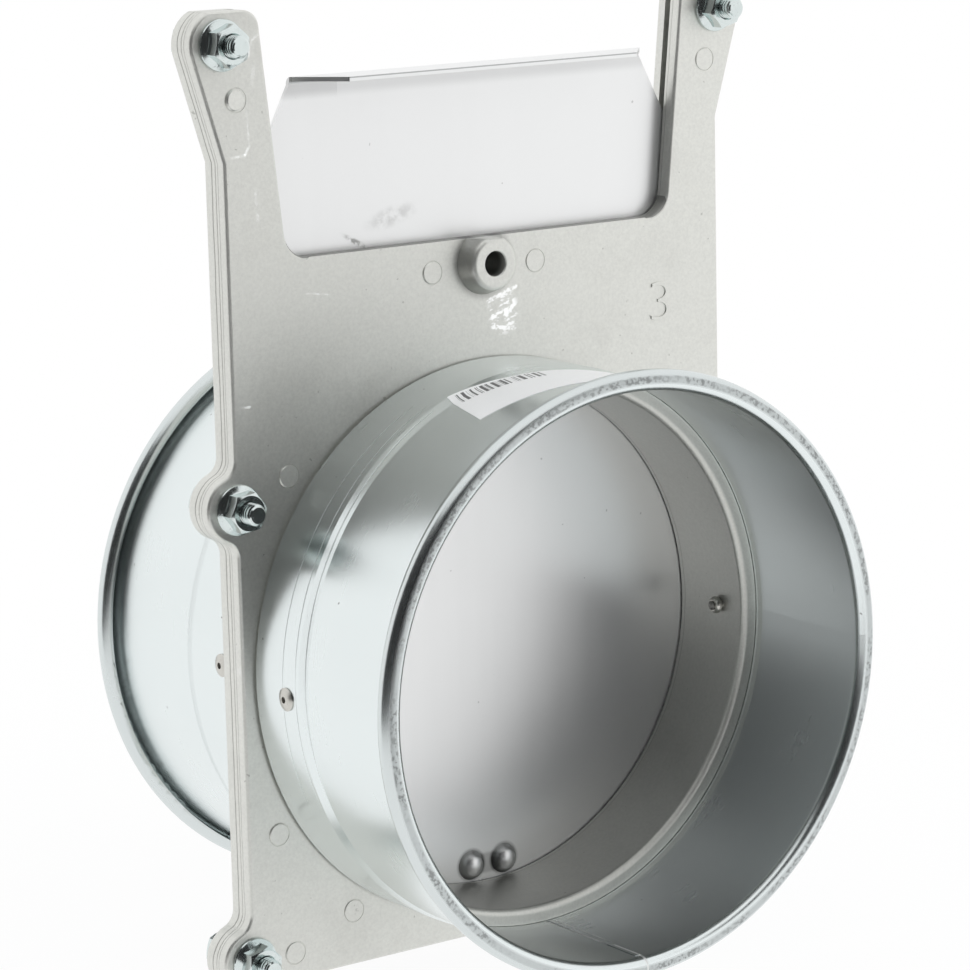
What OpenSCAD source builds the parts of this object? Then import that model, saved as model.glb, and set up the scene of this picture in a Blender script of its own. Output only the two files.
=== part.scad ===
// Sliding blast gate for a round extraction duct.
// Two cast plates are screwed face to face around a thin steel blade. Each plate has a cast
// spigot, and a sheet-steel collar with a rolled lip is riveted over each spigot. The blade
// slides up in the channel between the plates until its two pressed dimples meet the top of
// the bore, and a tapped boss in the front plate takes a screw that would hold it.
// x is to the right, y runs along the duct away from the viewer and z is up, the blade's way.
// The origin is on the duct axis, where the front collar's straight bore begins at its lip.

/* [Duct collars] */
// Outside diameter of each collar
collar_d = 157.4; // [140:0.2:180]
// Thickness of the collar sheet
collar_wall = 1; // [0.6:0.1:1.5]
// Length of each collar, from its plate's face to its mouth
collar_reach = 68; // [50:0.5:90]
// Open joint between a collar's end and its plate
collar_gap = 1; // [0.3:0.1:2]
// How far the rolled lip stands out from the collar
lip_out = 4.7; // [3:0.1:6]
// How far the collar's end is widened to go over the spigot
swage = 0.7; // [0.3:0.05:1]
// Length over which the collar goes back from its wide end to its own size
swage_len = 3.5; // [2:0.1:6]

/* [Spigots] */
// Length of each cast spigot, from its plate's face
spigot_reach = 21.5; // [15:0.5:30]
// Wall of the spigot where the collar sits on it
spigot_wall = 4.55; // [3.5:0.05:7]
// How much thinner the spigot is at its end, outside
spigot_lead = 0.95; // [0.4:0.05:2]
// Length of that thinner end
spigot_lead_len = 4; // [2:0.5:8]
// Radius of the rounded inner edge at the spigot's end
spigot_edge_r = 1; // [0.4:0.1:1.1]
// Running fit between collar and spigot, on the radius
collar_fit = 0.05; // [0.02:0.01:0.1]

/* [Cast plates] */
// Thickness of the front plate
front_t = 4.5; // [3:0.1:7]
// Thickness of the rear plate, which holds the channel
rear_t = 5.5; // [4.5:0.1:9]
// Depth of the blade channel
channel_t = 2.1; // [1.8:0.1:2.6]
// Wall between the channel and the plate's side edge
rail_w = 6; // [5:0.5:9]
// Height of the notch floor above the channel's round part
neck_h = 35.8; // [30:0.5:50]
// Height of the two arms above the notch floor
arm_h = 66.3; // [55:0.5:85]
// Plate below the channel's round part
sill_h = 9; // [8:0.5:14]
// Width of each arm at the notch floor
arm_w = 18.9; // [17:0.1:21]
// Radius in the notch's lower corners
notch_r = 7.5; // [4:0.5:12]
// Radius on the inner top corner of each arm
arm_corner_r = 4.8; // [2:0.1:6]
// Height of each arm's slanted outer edge
flare_h = 39.6; // [30:0.5:50]
// Radius of the round lug about each screw
lug_r = 9.4; // [8:0.1:11]
// Radius of the hollow where a lug meets the side edge
lug_blend_r = 5; // [3:0.5:8]

/* [Boss] */
// Height of the tapped boss
boss_h = 5.5; // [3:0.5:9]
// Radius of the boss at its foot
boss_foot_r = 9; // [8:0.1:11]
// Radius of the boss at its face
boss_face_r = 7.4; // [6:0.1:8]
// Radius of the tapped hole
boss_hole_r = 3.4; // [2.5:0.1:4.2]
// Centre of the boss below the notch floor
boss_drop = 7; // [5:0.5:10]

/* [Blade] */
// Thickness of the blade
blade_t = 1.2; // [1:0.1:1.5]
// How far the blade reaches past the bore all round
blade_lap = 4.3; // [3:0.1:6]
// Gap between the blade's edge and the channel's edge
blade_side_gap = 0.6; // [0.3:0.1:1]
// Blade's top below the tops of the arms, when closed
blade_drop = 18.7; // [10:0.1:30]
// How far each upper corner is cut in
blade_corner = 17.4; // [10:0.1:22]
// Depth of the handle lip, from the blade's front to its edge
lip_depth = 13; // [9:0.5:20]
// Inside radius of the bend at the handle lip
bend_r = 1; // [0.5:0.1:2]
// Foot radius of the stop dimples
dimple_r = 4.3; // [3.5:0.1:4.6]
// Height of the stop dimples
dimple_h = 3; // [2:0.1:3.4]
// Distance of each dimple from the centre line
dimple_x = 5.7; // [5:0.1:10]
// Gap between a dimple's foot and the bore's edge, when closed
dimple_gap = 0.6; // [0.4:0.1:2]

/* [Fasteners] */
// Thread diameter of the screws
screw_d = 6; // [5:0.5:6.5]
// Clearance of the screw holes, on the radius
hole_gap = 0.3; // [0.1:0.05:0.5]
// Gap between thread and nut, on the radius
thread_gap = 0.1; // [0.05:0.01:0.15]
// Thread that stands out of the nut
thread_proud = 4; // [1:0.5:7]
// Length of the bevel at the screw's tip
tip_bevel = 0.8; // [0.3:0.1:1.2]
// Width across the flats of the nuts and heads
hex_w = 10; // [9:0.5:11]
// Diameter of the pressed flange
flange_d = 13.8; // [13:0.1:15]
// Thickness of the flange at its rim
flange_rim = 1.2; // [0.8:0.1:1.6]
// Height at which the sloped flange meets the flats
flange_h = 2.6; // [2:0.1:3]
// Height of a nut
nut_h = 6; // [5:0.5:8]
// Height of a screw head
head_h = 6.6; // [5:0.2:8]
// Screws in from the side edges
screw_inset = 0.4; // [0:0.1:1.5]
// Top screws below the tops of the arms
top_screw_drop = 8.6; // [8:0.1:10]
// Middle screws above the duct axis
mid_screw_z = 47.5; // [35:0.5:60]
// Bottom screws above the plate's bottom edge
low_screw_rise = 7.6; // [7:0.1:10]

/* [Rivets] */
// Diameter of the rivet bodies
rivet_d = 3.2; // [2.4:0.1:4]
// Clearance of the rivet holes, on the radius
rivet_gap = 0.05; // [0.02:0.01:0.1]
// Diameter of the domed heads
rivet_head_d = 6.4; // [5:0.1:8]
// Height of the domed heads
rivet_head_h = 1.1; // [0.8:0.1:1.6]
// Thickness of the head at its rim
rivet_rim = 0.3; // [0.2:0.05:0.5]
// Diameter of the set ends inside the bore
rivet_tail_d = 4.9; // [4.4:0.1:5.4]
// Length of the set ends
rivet_tail_h = 2.4; // [1.5:0.1:3]
// Diameter of the broken pin left in each rivet
pin_d = 1.7; // [1.2:0.1:1.9]
// Clearance of that pin, on the radius
pin_gap = 0.05; // [0.02:0.01:0.1]
// Diameter of the pin's own head
pin_head_d = 2.6; // [2.2:0.1:3]
// Height of the pin's own head
pin_head_h = 0.9; // [0.5:0.1:1.5]
// Depth of the broken end below the rivet head's top
pin_sunk = 0.8; // [0.4:0.1:1.5]
// Left front rivet from the front plate's face
front_left_rivet_y = 15.7; // [8:0.1:16]
// Right front rivet from the front plate's face
front_right_rivet_y = 11.3; // [8:0.1:16]
// Rear rivets from the rear plate's face
rear_rivet_y = 6; // [5:0.1:15]

/* [Hidden] */

casting = [0.71, 0.70, 0.68];
galvanised = [0.70, 0.74, 0.77];
blade_steel = [0.78, 0.78, 0.79];
zinc_plate = [0.66, 0.69, 0.71];
rivet_metal = [0.62, 0.62, 0.60];

// Facets of the large rounds and of the small ones
large_fn = 180;
small_fn = 48;
// Overrun of every cut past the face that it opens
overrun = 1;
// Gap under pieces that bear on a round wall
seat_gap = 0.02;
// Draft of the cast bores and slope of the arms' inner edges
bore_draft = 3.74;
arm_slope = 5.9;
// Slope of the blade's cut corners from upright, and of the lip's ends from the duct's way
corner_slope = 27.5;
lip_slope = 41;
// The rivets are set by hand: how far round each one sits above the middle, in degrees
front_left_turn = -1.4;
front_right_turn = 0;
rear_left_turn = 1.1;
rear_right_turn = 0;

// Collar radii, and the centre and radius of the rolled lip
collar_r = collar_d / 2;
collar_in = collar_r - collar_wall;
curl_r = (lip_out + collar_wall) / 2;
curl_centre_r = collar_r + lip_out - curl_r;
curl_y = collar_reach - curl_r;

// Planes across the duct, front to rear
face_y = curl_y;
seam_y = face_y + front_t;
rear_y = seam_y + rear_t;
blade_y = seam_y + (channel_t - blade_t) / 2;

// Spigot: the seat for the collar, its end, and the drafted bore inside
seat_r = collar_in + swage - collar_fit;
spigot_end_r = seat_r - spigot_lead;
seat_len = spigot_reach - spigot_lead_len;
bore_mouth_r = seat_r - spigot_wall;
function bore_r(y) = bore_mouth_r - (spigot_reach - y) * tan(bore_draft);
bore_back_r = bore_r(-front_t);
collar_seat_len = spigot_reach + collar_fit;

// Blade and channel
blade_r = bore_back_r + blade_lap;
channel_r = blade_r + blade_side_gap;

// Plate outline
plate_half_w = channel_r + rail_w;
notch_z = channel_r + neck_h;
arm_top = notch_z + arm_h;
plate_low = channel_r + sill_h;
screw_x = plate_half_w - screw_inset;
top_screw_z = arm_top - top_screw_drop;
low_screw_z = low_screw_rise - plate_low;

// Point where the arm's slanted outer edge touches the top lug
flare_z = arm_top - flare_h;
flare_run = norm([screw_inset, top_screw_z - flare_z]);
flare_a = 90 + atan(screw_inset / (top_screw_z - flare_z)) - asin(lug_r / flare_run);
flare_len = sqrt(flare_run * flare_run - lug_r * lug_r);
flare_x = plate_half_w + flare_len * cos(flare_a);
flare_top = flare_z + flare_len * sin(flare_a);

// Inner edge of the right arm at a height, and the centres of its two corner radii
function arm_in(z) = plate_half_w - arm_w + (z - notch_z) * tan(arm_slope);
arm_corner_z = arm_top - arm_corner_r;
arm_corner_x = arm_in(arm_corner_z) + arm_corner_r / cos(arm_slope);
notch_corner_z = notch_z + notch_r;
notch_corner_x = arm_in(notch_corner_z) - notch_r / cos(arm_slope);
notch_touch = [notch_corner_x + notch_r * cos(arm_slope), notch_corner_z - notch_r * sin(arm_slope)];

// Height at which a lug's hollow leaves the straight side edge
lug_blend_h = sqrt(pow(lug_r + lug_blend_r, 2) - pow(screw_inset + lug_blend_r, 2));

// Blade heights, its upper half width and its lip
blade_top = arm_top - blade_drop;
bend_z = blade_top - blade_t - bend_r;
blade_top_half = blade_r - blade_corner;
corner_low = bend_z - blade_corner / tan(corner_slope);
lip_y = blade_y - lip_depth;
lip_root_y = blade_y - bend_r / 2;
lip_half = blade_top_half - (lip_root_y - lip_y) * tan(lip_slope);
blade_back = blade_y + blade_t;

// Dimples: a ball pressed through the sheet, clear of the bore's edge
dimple_ball_r = (dimple_r * dimple_r + dimple_h * dimple_h) / (2 * dimple_h);
dimple_ball_y = blade_y - dimple_h + dimple_ball_r;
dimple_run = bore_back_r - dimple_gap - dimple_r;
dimple_z = -sqrt(dimple_run * dimple_run - dimple_x * dimple_x);

// Boss
boss_z = notch_z - boss_drop;

// Fasteners
screw_r = screw_d / 2;
hex_r = hex_w / 2 / cos(30);
shank_len = front_t + rear_t + nut_h + thread_proud;

// Rivets: the head bears on the widened collar, the set end on the bore
rivet_r = rivet_d / 2;
tail_r = rivet_tail_d / 2;
head_seat = collar_r + swage + seat_gap;
head_dome_h = rivet_head_h - rivet_rim;
head_dome_r = (pow(rivet_head_d / 2, 2) + head_dome_h * head_dome_h) / (2 * head_dome_h);
function tail_seat(y) = sqrt(pow(bore_r(y - tail_r), 2) - tail_r * tail_r) - seat_gap;

// An outline in x and z, made a slab from one y to another
module slab(y0, y1)
{
    translate([0, y1, 0])
        rotate([90, 0, 0])
            linear_extrude(y1 - y0)
                children();
}

// A profile in radius and y, turned about the duct axis
module turned()
{
    rotate([-90, 0, 0])
        rotate_extrude($fn = large_fn)
            children();
}

// Both ends of the duct use the same shapes, with y counted from the plate's face outwards
module front_side()
{
    translate([0, face_y, 0])
        mirror([0, 1, 0])
            children();
}

module rear_side()
{
    translate([0, rear_y, 0])
        children();
}

// A profile in y and z, drawn out to both sides of the centre line
module across(half)
{
    translate([-half, 0, 0])
        rotate([90, 0, 90])
            linear_extrude(2 * half)
                children();
}

module both_sides()
{
    children();
    mirror([1, 0, 0])
        children();
}

// The web that fills the hollow above or below a lug
module lug_web(z, way)
{
    difference()
    {
        polygon([
            [screw_x, z],
            [plate_half_w + lug_blend_r, z + way * lug_blend_h],
            [plate_half_w, z + way * lug_blend_h]
        ]);
        translate([plate_half_w + lug_blend_r, z + way * lug_blend_h])
            circle(r = lug_blend_r, $fn = small_fn);
    }
}

module lug(z)
{
    translate([screw_x, z])
        circle(r = lug_r, $fn = small_fn);
}

// The radius in a lower corner of the notch
module notch_web()
{
    difference()
    {
        polygon([
            [notch_corner_x, notch_z],
            [arm_in(notch_z), notch_z],
            notch_touch,
            [notch_corner_x, notch_corner_z]
        ]);
        translate([notch_corner_x, notch_corner_z])
            circle(r = notch_r, $fn = small_fn);
    }
}

// Right half of the outline that both plates share
module half_outline()
{
    polygon([
        [0, -plate_low],
        [plate_half_w, -plate_low],
        [plate_half_w, flare_z],
        [flare_x, flare_top],
        [screw_x, arm_top],
        [arm_corner_x, arm_top],
        [arm_corner_x - arm_corner_r * cos(arm_slope), arm_corner_z + arm_corner_r * sin(arm_slope)],
        notch_touch,
        [arm_in(notch_z), notch_z],
        [0, notch_z]
    ]);
    translate([arm_corner_x, arm_corner_z])
        circle(r = arm_corner_r, $fn = small_fn);
    notch_web();
    intersection()
    {
        lug(top_screw_z);
        translate([arm_corner_x, flare_z])
            square([lug_r + screw_x, flare_h]);
    }
    lug(mid_screw_z);
    lug_web(mid_screw_z, 1);
    lug_web(mid_screw_z, -1);
    lug(low_screw_z);
    lug_web(low_screw_z, 1);
}

module plate_outline()
{
    both_sides()
        half_outline();
}

// The blade's channel: round below, open at the top between the arms
module channel_outline()
{
    circle(r = channel_r, $fn = large_fn);
    translate([-channel_r, 0])
        square([2 * channel_r, arm_top + overrun]);
}

// Outside of a spigot, from inside its plate to its thinner end
module spigot(plate_t)
{
    turned()
        polygon([
            [0, -plate_t / 2],
            [seat_r, -plate_t / 2],
            [seat_r, seat_len],
            [spigot_end_r, spigot_reach],
            [0, spigot_reach]
        ]);
}

// The drafted bore through a plate and its spigot, with the rounded edge at its end
module bore(plate_t)
{
    edge_y = spigot_reach - spigot_edge_r;
    edge_x = bore_r(edge_y) + spigot_edge_r / cos(bore_draft);
    back = -plate_t - overrun;
    turned()
        difference()
        {
            polygon([
                [0, back],
                [bore_r(back), back],
                [edge_x - spigot_edge_r * cos(bore_draft), edge_y + spigot_edge_r * sin(bore_draft)],
                [edge_x, edge_y],
                [edge_x, spigot_reach],
                [edge_x, spigot_reach + overrun],
                [0, spigot_reach + overrun]
            ]);
            translate([edge_x, edge_y])
                circle(r = spigot_edge_r, $fn = small_fn);
        }
}

// Holes along y for the six screws
module screw_holes()
{
    both_sides()
        for (z = [top_screw_z, mid_screw_z, low_screw_z])
            translate([screw_x, face_y - overrun, z])
                rotate([-90, 0, 0])
                    cylinder(r = screw_r + hole_gap, h = front_t + rear_t + 2 * overrun, $fn = small_fn);
}

// Carries a shape that stands along z from the duct axis to one side, a little up or down
module at_side(side, y, turn)
{
    translate([0, y, 0])
        rotate([0, side > 0 ? 90 - turn : 270 + turn, 0])
            children();
}

// A rivet's hole through one wall of a spigot or collar
module rivet_hole(side, y, turn)
{
    at_side(side, y, turn)
        cylinder(r = rivet_r + rivet_gap, h = collar_d, $fn = small_fn);
}

module front_rivet_holes()
{
    front_side()
    {
        rivet_hole(-1, front_left_rivet_y, front_left_turn);
        rivet_hole(1, front_right_rivet_y, front_right_turn);
    }
}

module rear_rivet_holes()
{
    rear_side()
    {
        rivet_hole(-1, rear_rivet_y, rear_left_turn);
        rivet_hole(1, rear_rivet_y, rear_right_turn);
    }
}

// The tapped boss, cut off level with the notch floor
module boss()
{
    difference()
    {
        translate([0, face_y - boss_h, boss_z])
            rotate([-90, 0, 0])
                cylinder(r1 = boss_face_r, r2 = boss_foot_r, h = boss_h, $fn = small_fn);
        translate([-2 * boss_foot_r, face_y - boss_h - overrun, notch_z])
            cube([4 * boss_foot_r, boss_h + 2 * overrun, 2 * boss_foot_r]);
    }
}

module front_plate()
{
    color(casting)
        difference()
        {
            union()
            {
                slab(face_y, seam_y)
                    plate_outline();
                front_side()
                    spigot(front_t);
                boss();
            }
            front_side()
                bore(front_t);
            front_rivet_holes();
            screw_holes();
            translate([0, face_y - boss_h - overrun, boss_z])
                rotate([-90, 0, 0])
                    cylinder(r = boss_hole_r, h = boss_h + front_t + 2 * overrun, $fn = small_fn);
        }
}

module rear_plate()
{
    color(casting)
        difference()
        {
            union()
            {
                slab(seam_y, rear_y)
                    plate_outline();
                rear_side()
                    spigot((rear_t - channel_t));
            }
            slab(seam_y - overrun, seam_y + channel_t)
                channel_outline();
            rear_side()
                bore(rear_t);
            rear_rivet_holes();
            screw_holes();
        }
}

// Wall of a collar with its widened end, and the lip rolled out and back on itself
module collar_profile()
{
    polygon([
        [collar_in + swage, collar_gap],
        [collar_r + swage, collar_gap],
        [collar_r + swage, collar_seat_len],
        [collar_r, collar_seat_len + swage_len],
        [collar_r, curl_y],
        [collar_in, curl_y],
        [collar_in, collar_seat_len + swage_len],
        [collar_in + swage, collar_seat_len]
    ]);
    translate([curl_centre_r, curl_y])
        difference()
        {
            circle(r = curl_r, $fn = small_fn);
            circle(r = curl_r - collar_wall, $fn = small_fn);
            translate([-2 * curl_r, -2 * curl_r])
                square(2 * curl_r);
        }
}

module front_collar()
{
    color(galvanised)
        difference()
        {
            front_side()
                turned()
                    collar_profile();
            front_rivet_holes();
        }
}

module rear_collar()
{
    color(galvanised)
        difference()
        {
            rear_side()
                turned()
                    collar_profile();
            rear_rivet_holes();
        }
}

// Side view of the blade: the flat sheet and the lip bent forward at its top
module blade_side()
{
    translate([blade_y, -blade_r])
        square([blade_t, bend_z + blade_r]);
    translate([blade_y - bend_r, bend_z])
        intersection()
        {
            difference()
            {
                circle(r = bend_r + blade_t, $fn = small_fn);
                circle(r = bend_r, $fn = small_fn);
            }
            square(bend_r + blade_t);
        }
    translate([lip_y, bend_z + bend_r])
        square([lip_depth - bend_r, blade_t]);
}

// Front view of the blade, round below and with its upper corners cut off
module blade_front()
{
    circle(r = blade_r, $fn = large_fn);
    polygon([
        [-blade_r, 0],
        [blade_r, 0],
        [blade_r, corner_low],
        [blade_top_half, bend_z],
        [blade_top_half, blade_top + overrun],
        [-blade_top_half, blade_top + overrun],
        [-blade_top_half, bend_z],
        [-blade_r, corner_low]
    ]);
}

// Plan of the blade, where the cut corners run on along the lip
module blade_plan()
{
    polygon([
        [-blade_r - overrun, blade_back + overrun],
        [-blade_r - overrun, lip_root_y],
        [-blade_top_half, lip_root_y],
        [-lip_half, lip_y],
        [lip_half, lip_y],
        [blade_top_half, lip_root_y],
        [blade_r + overrun, lip_root_y],
        [blade_r + overrun, blade_back + overrun]
    ]);
}

module blade()
{
    color(blade_steel)
        difference()
        {
            union()
            {
                intersection()
                {
                    across(blade_r)
                        blade_side();
                    slab(lip_y - overrun, blade_back + overrun)
                        blade_front();
                    translate([0, 0, -blade_r - overrun])
                        linear_extrude(blade_top + blade_r + 2 * overrun)
                            blade_plan();
                }
                for (side = [-1, 1])
                    intersection()
                    {
                        translate([side * dimple_x, dimple_ball_y, dimple_z])
                            sphere(r = dimple_ball_r, $fn = small_fn);
                        translate([side * dimple_x - dimple_r, blade_y - dimple_h - overrun, dimple_z - dimple_r])
                            cube([2 * dimple_r, dimple_h + overrun + blade_t / 2, 2 * dimple_r]);
                    }
            }
            for (side = [-1, 1])
                translate([side * dimple_x, dimple_ball_y, dimple_z])
                    sphere(r = dimple_ball_r - blade_t, $fn = small_fn);
        }
}

// Flange and hexagon, standing up from z = 0
module flanged_hex(height)
{
    rotate_extrude($fn = small_fn)
        polygon([
            [0, 0],
            [flange_d / 2, 0],
            [flange_d / 2, flange_rim],
            [hex_w / 2, flange_h],
            [0, flange_h]
        ]);
    cylinder(r = hex_r, h = height, $fn = 6);
}

// A screw goes in from the rear, its head on the rear plate
module screw(x, z)
{
    color(zinc_plate)
        translate([x, rear_y, z])
            rotate([-90, 0, 0])
            {
                flanged_hex(head_h);
                rotate_extrude($fn = small_fn)
                    polygon([
                        [0, -shank_len],
                        [screw_r - tip_bevel, -shank_len],
                        [screw_r, tip_bevel - shank_len],
                        [screw_r, flange_rim],
                        [0, flange_rim]
                    ]);
            }
}

// A nut sits on the front plate
module nut(x, z)
{
    color(zinc_plate)
        translate([x, face_y, z])
            rotate([90, 0, 0])
                difference()
                {
                    flanged_hex(nut_h);
                    translate([0, 0, -overrun])
                        cylinder(r = screw_r + thread_gap, h = nut_h + 2 * overrun, $fn = small_fn);
                }
}

// Body of a blind rivet, standing from the duct axis: domed head outside, swollen set end inside
module rivet_body(side, y, turn)
{
    head_top = head_seat + rivet_head_h;
    seat = tail_seat(y);
    color(rivet_metal)
        at_side(side, y, turn)
            rotate_extrude($fn = small_fn)
                difference()
                {
                    union()
                    {
                        translate([0, head_seat])
                            square([rivet_head_d / 2, rivet_rim]);
                        intersection()
                        {
                            translate([0, head_top - head_dome_r])
                                circle(r = head_dome_r, $fn = large_fn);
                            translate([0, head_seat + rivet_rim])
                                square([rivet_head_d / 2, rivet_head_h]);
                        }
                        translate([0, seat - rivet_tail_h])
                            square([rivet_r, head_seat + rivet_rim + rivet_tail_h - seat]);
                        translate([0, seat - rivet_tail_h])
                            square([tail_r - rivet_tail_h / 2, rivet_tail_h]);
                        translate([tail_r - rivet_tail_h / 2, seat - rivet_tail_h / 2])
                            circle(r = rivet_tail_h / 2, $fn = small_fn);
                    }
                    translate([-tail_r, seat - rivet_tail_h - overrun])
                        square([tail_r + pin_d / 2 + pin_gap, head_top - seat + rivet_tail_h + 2 * overrun]);
                }
}

// What is left of the rivet's pin: its head below the set end, its broken stem inside
module rivet_pin(side, y, turn)
{
    tail_end = tail_seat(y) - rivet_tail_h;
    color(zinc_plate)
        at_side(side, y, turn)
            rotate_extrude($fn = small_fn)
                polygon([
                    [0, tail_end - pin_head_h],
                    [pin_head_d / 4, tail_end - pin_head_h],
                    [pin_head_d / 2, tail_end - pin_head_h / 2],
                    [pin_head_d / 2, tail_end],
                    [pin_d / 2, tail_end],
                    [pin_d / 2, head_seat + rivet_head_h - pin_sunk],
                    [0, head_seat + rivet_head_h - pin_sunk]
                ]);
}

module screw_top_left()
{
    screw(-screw_x, top_screw_z);
}

module screw_top_right()
{
    screw(screw_x, top_screw_z);
}

module screw_mid_left()
{
    screw(-screw_x, mid_screw_z);
}

module screw_mid_right()
{
    screw(screw_x, mid_screw_z);
}

module screw_low_left()
{
    screw(-screw_x, low_screw_z);
}

module screw_low_right()
{
    screw(screw_x, low_screw_z);
}

module nut_top_left()
{
    nut(-screw_x, top_screw_z);
}

module nut_top_right()
{
    nut(screw_x, top_screw_z);
}

module nut_mid_left()
{
    nut(-screw_x, mid_screw_z);
}

module nut_mid_right()
{
    nut(screw_x, mid_screw_z);
}

module nut_low_left()
{
    nut(-screw_x, low_screw_z);
}

module nut_low_right()
{
    nut(screw_x, low_screw_z);
}

module front_rivet_left()
{
    front_side()
        rivet_body(-1, front_left_rivet_y, front_left_turn);
}

module front_rivet_right()
{
    front_side()
        rivet_body(1, front_right_rivet_y, front_right_turn);
}

module rear_rivet_left()
{
    rear_side()
        rivet_body(-1, rear_rivet_y, rear_left_turn);
}

module rear_rivet_right()
{
    rear_side()
        rivet_body(1, rear_rivet_y, rear_right_turn);
}

module front_rivet_pin_left()
{
    front_side()
        rivet_pin(-1, front_left_rivet_y, front_left_turn);
}

module front_rivet_pin_right()
{
    front_side()
        rivet_pin(1, front_right_rivet_y, front_right_turn);
}

module rear_rivet_pin_left()
{
    rear_side()
        rivet_pin(-1, rear_rivet_y, rear_left_turn);
}

module rear_rivet_pin_right()
{
    rear_side()
        rivet_pin(1, rear_rivet_y, rear_right_turn);
}

front_plate();
rear_plate();
front_collar();
rear_collar();
blade();
screw_top_left();
screw_top_right();
screw_mid_left();
screw_mid_right();
screw_low_left();
screw_low_right();
nut_top_left();
nut_top_right();
nut_mid_left();
nut_mid_right();
nut_low_left();
nut_low_right();
front_rivet_left();
front_rivet_right();
rear_rivet_left();
rear_rivet_right();
front_rivet_pin_left();
front_rivet_pin_right();
rear_rivet_pin_left();
rear_rivet_pin_right();
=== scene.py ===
import bmesh
import bpy
import math
from mathutils import Matrix, Vector


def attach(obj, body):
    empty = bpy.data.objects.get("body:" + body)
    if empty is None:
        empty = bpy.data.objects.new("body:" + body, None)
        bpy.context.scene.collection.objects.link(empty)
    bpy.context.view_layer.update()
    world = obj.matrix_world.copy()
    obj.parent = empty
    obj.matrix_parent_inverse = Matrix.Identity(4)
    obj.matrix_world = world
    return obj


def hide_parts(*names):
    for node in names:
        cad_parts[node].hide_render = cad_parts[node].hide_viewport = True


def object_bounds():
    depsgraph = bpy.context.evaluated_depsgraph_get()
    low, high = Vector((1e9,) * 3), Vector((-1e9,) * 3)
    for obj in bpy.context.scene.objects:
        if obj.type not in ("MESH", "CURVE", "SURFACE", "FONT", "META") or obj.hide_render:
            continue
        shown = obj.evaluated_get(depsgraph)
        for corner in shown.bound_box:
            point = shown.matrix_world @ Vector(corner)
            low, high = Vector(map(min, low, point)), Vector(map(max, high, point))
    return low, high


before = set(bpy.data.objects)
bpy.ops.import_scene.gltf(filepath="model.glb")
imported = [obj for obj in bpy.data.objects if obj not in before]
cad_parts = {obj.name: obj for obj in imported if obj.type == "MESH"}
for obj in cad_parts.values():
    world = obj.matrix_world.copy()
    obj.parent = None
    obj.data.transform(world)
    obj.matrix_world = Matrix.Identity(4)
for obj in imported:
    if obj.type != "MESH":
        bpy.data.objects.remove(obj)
cad_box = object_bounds()

# The two plates are bare aluminium castings, held face to face by six screws. The dies left
# rounded edges, a fine grain, round ejector marks, a raised cavity number and a parting line.


class Wire:
    """One output among a set of nodes. Sums written with it add Math nodes."""

    def __init__(self, nodes, socket):
        self.nodes, self.socket = nodes, socket

    def __add__(self, other):
        return self.nodes.maths("ADD", self, other)

    def __radd__(self, other):
        return self.nodes.maths("ADD", other, self)

    def __sub__(self, other):
        return self.nodes.maths("SUBTRACT", self, other)

    def __rsub__(self, other):
        return self.nodes.maths("SUBTRACT", other, self)

    def __mul__(self, other):
        return self.nodes.maths("MULTIPLY", self, other)

    def __rmul__(self, other):
        return self.nodes.maths("MULTIPLY", other, self)

    def __gt__(self, other):
        return self.nodes.maths("GREATER_THAN", self, other)

    def __lt__(self, other):
        return self.nodes.maths("LESS_THAN", self, other)

    def __abs__(self):
        return self.nodes.maths("ABSOLUTE", self)


class Nodes:
    """The nodes of one material, or of the world."""

    def __init__(self, tree):
        self.tree = tree

    def node(self, kind, settings=None, inputs=None, output=0):
        """Adds one node: its settings first, then the values or links of its sockets."""
        made = self.tree.nodes.new(kind)
        for label, value in (settings or {}).items():
            setattr(made, label, value)
        for label, value in (inputs or {}).items():
            if isinstance(value, Wire):
                self.tree.links.new(value.socket, made.inputs[label])
            elif isinstance(value, tuple) and made.inputs[label].type == "RGBA":
                made.inputs[label].default_value = (*value, 1)
            else:
                made.inputs[label].default_value = value
        return Wire(self, made.outputs[output])

    def maths(self, operation, *values):
        return self.node("ShaderNodeMath", {"operation": operation}, dict(enumerate(values)))


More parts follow.
